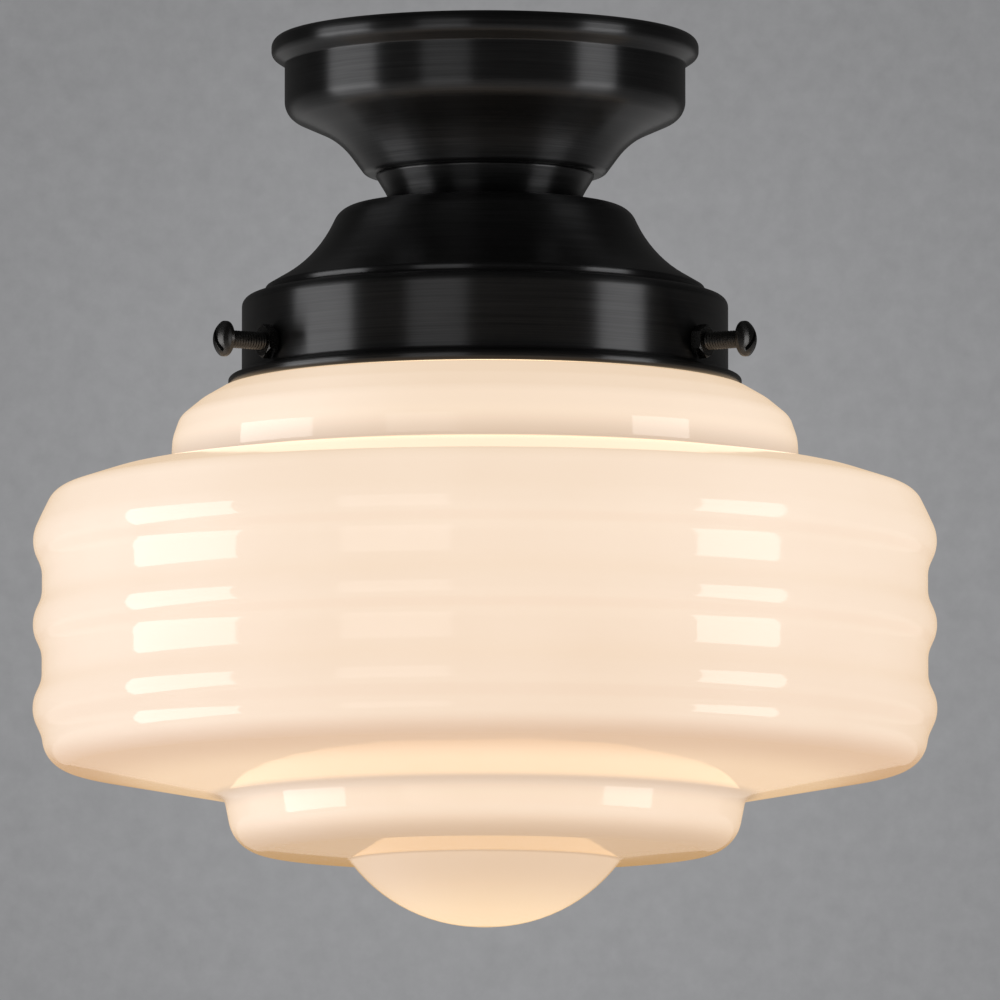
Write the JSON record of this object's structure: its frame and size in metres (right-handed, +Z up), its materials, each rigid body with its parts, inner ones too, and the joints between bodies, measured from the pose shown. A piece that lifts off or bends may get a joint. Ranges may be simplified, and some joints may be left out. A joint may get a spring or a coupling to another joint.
{
  "type": "semi flush ceiling light",
  "caption": "Semi flush ceiling light: dark spun canopy, neck and fitter with set screws holding a stepped opal glass drum shade with raised rings and a domed bottom.",
  "frame": {"origin": "centre of the ceiling plane, midway between the strap's two slotted holes", "axes": "+Z up into the ceiling along the light's axis, front of the light towards -Y, slotted strap along X"},
  "size_m": [0.305, 0.305, 0.3018],
  "materials": {
    "black_metal": "satin spun near-black, fine turning lines",
    "black_hardware": "semi-gloss near-black screws and nuts",
    "opal_glass": "glossy opal white, glows warm",
    "zinc_steel": "zinc-plated",
    "threaded_steel": "zinc-plated threaded tube",
    "green_screw": "green",
    "cast_iron": "as cast",
    "brass_cap": "satin",
    "porcelain": "glazed",
    "shell_brass": "rolled",
    "brass_screw": "bright",
    "nickel_screw": "nickel-plated",
    "black_lead": "insulated",
    "white_lead": "insulated",
    "green_lead": "insulated",
    "orange_cap": "fluted",
    "bulb_glass": "frosted",
    "bulb_metal": "rolled",
    "bulb_insulator": "black glass",
    "solder": "soldered",
    "stem_glass": "clear",
    "filament": "coated filament sticks"
  },
  "bodies": {
    "fixture": {"canopy": "black_metal", "neck_collar": "black_metal", "fitter": "black_metal", "crossbar": "zinc_steel", "ground_screw": "green_screw", "strap_nipple": "threaded_steel", "strap_nut": "zinc_steel", "hickey": "cast_iron", "stem": "threaded_steel", "clamp_washer": "zinc_steel", "clamp_nut": "zinc_steel", "lampholder_cap": "brass_cap", "lampholder_body": "porcelain", "screw_shell": "shell_brass", "centre_contact": "shell_brass", "live_terminal_screw": "brass_screw", "neutral_terminal_screw": "nickel_screw", "live_lead": "black_lead", "neutral_lead": "white_lead", "ground_lead": "green_lead", "live_connector": "orange_cap", "neutral_connector": "orange_cap", "ground_connector": "orange_cap"},
    "shade": {"glass_shade": "opal_glass"},
    "bulb": {"bulb_envelope": "bulb_glass", "bulb_cap": "bulb_metal", "bulb_insulator": "bulb_insulator", "bulb_tip_contact": "solder", "bulb_stem": "stem_glass", "bulb_filaments": "filament"},
    "screw_left": {"set_screw_left": "black_hardware"},
    "nut_left": {"lock_nut_left": "black_hardware"},
    "screw_right": {"set_screw_right": "black_hardware"},
    "nut_right": {"lock_nut_right": "black_hardware"},
    "screw_back": {"set_screw_back": "black_hardware"},
    "nut_back": {"lock_nut_back": "black_hardware"}
  },
  "joints": [
    {"name": "shade_turn", "type": "hinge", "parent": "fixture", "child": "shade", "pos_m": [0, 0, -0.1083], "axis": [0, 0, 1], "continuous": true},
    {"name": "bulb_turn", "type": "hinge", "parent": "fixture", "child": "bulb", "pos_m": [0, 0, -0.1034], "axis": [0, 0, 1], "range_deg": [0, 1080]},
    {"name": "set_screw_left_back_off", "type": "slide", "parent": "fixture", "child": "screw_left", "axis": [-0.866, -0.5, 0], "range_m": [0, 0.007]},
    {"name": "lock_nut_left_turn", "type": "hinge", "parent": "fixture", "child": "nut_left", "pos_m": [-0.07309, -0.0422, -0.1083], "axis": [-0.866, -0.5, 0], "continuous": true},
    {"name": "set_screw_right_back_off", "type": "slide", "parent": "fixture", "child": "screw_right", "axis": [0.866, -0.5, 0], "range_m": [0, 0.007]},
    {"name": "lock_nut_right_turn", "type": "hinge", "parent": "fixture", "child": "nut_right", "pos_m": [0.07309, -0.0422, -0.1083], "axis": [0.866, -0.5, 0], "continuous": true},
    {"name": "set_screw_back_back_off", "type": "slide", "parent": "fixture", "child": "screw_back", "axis": [0, 1, 0], "range_m": [0, 0.007]},
    {"name": "lock_nut_back_turn", "type": "hinge", "parent": "fixture", "child": "nut_back", "pos_m": [0, 0.0844, -0.1083], "axis": [0, 1, 0], "continuous": true}
  ]
}
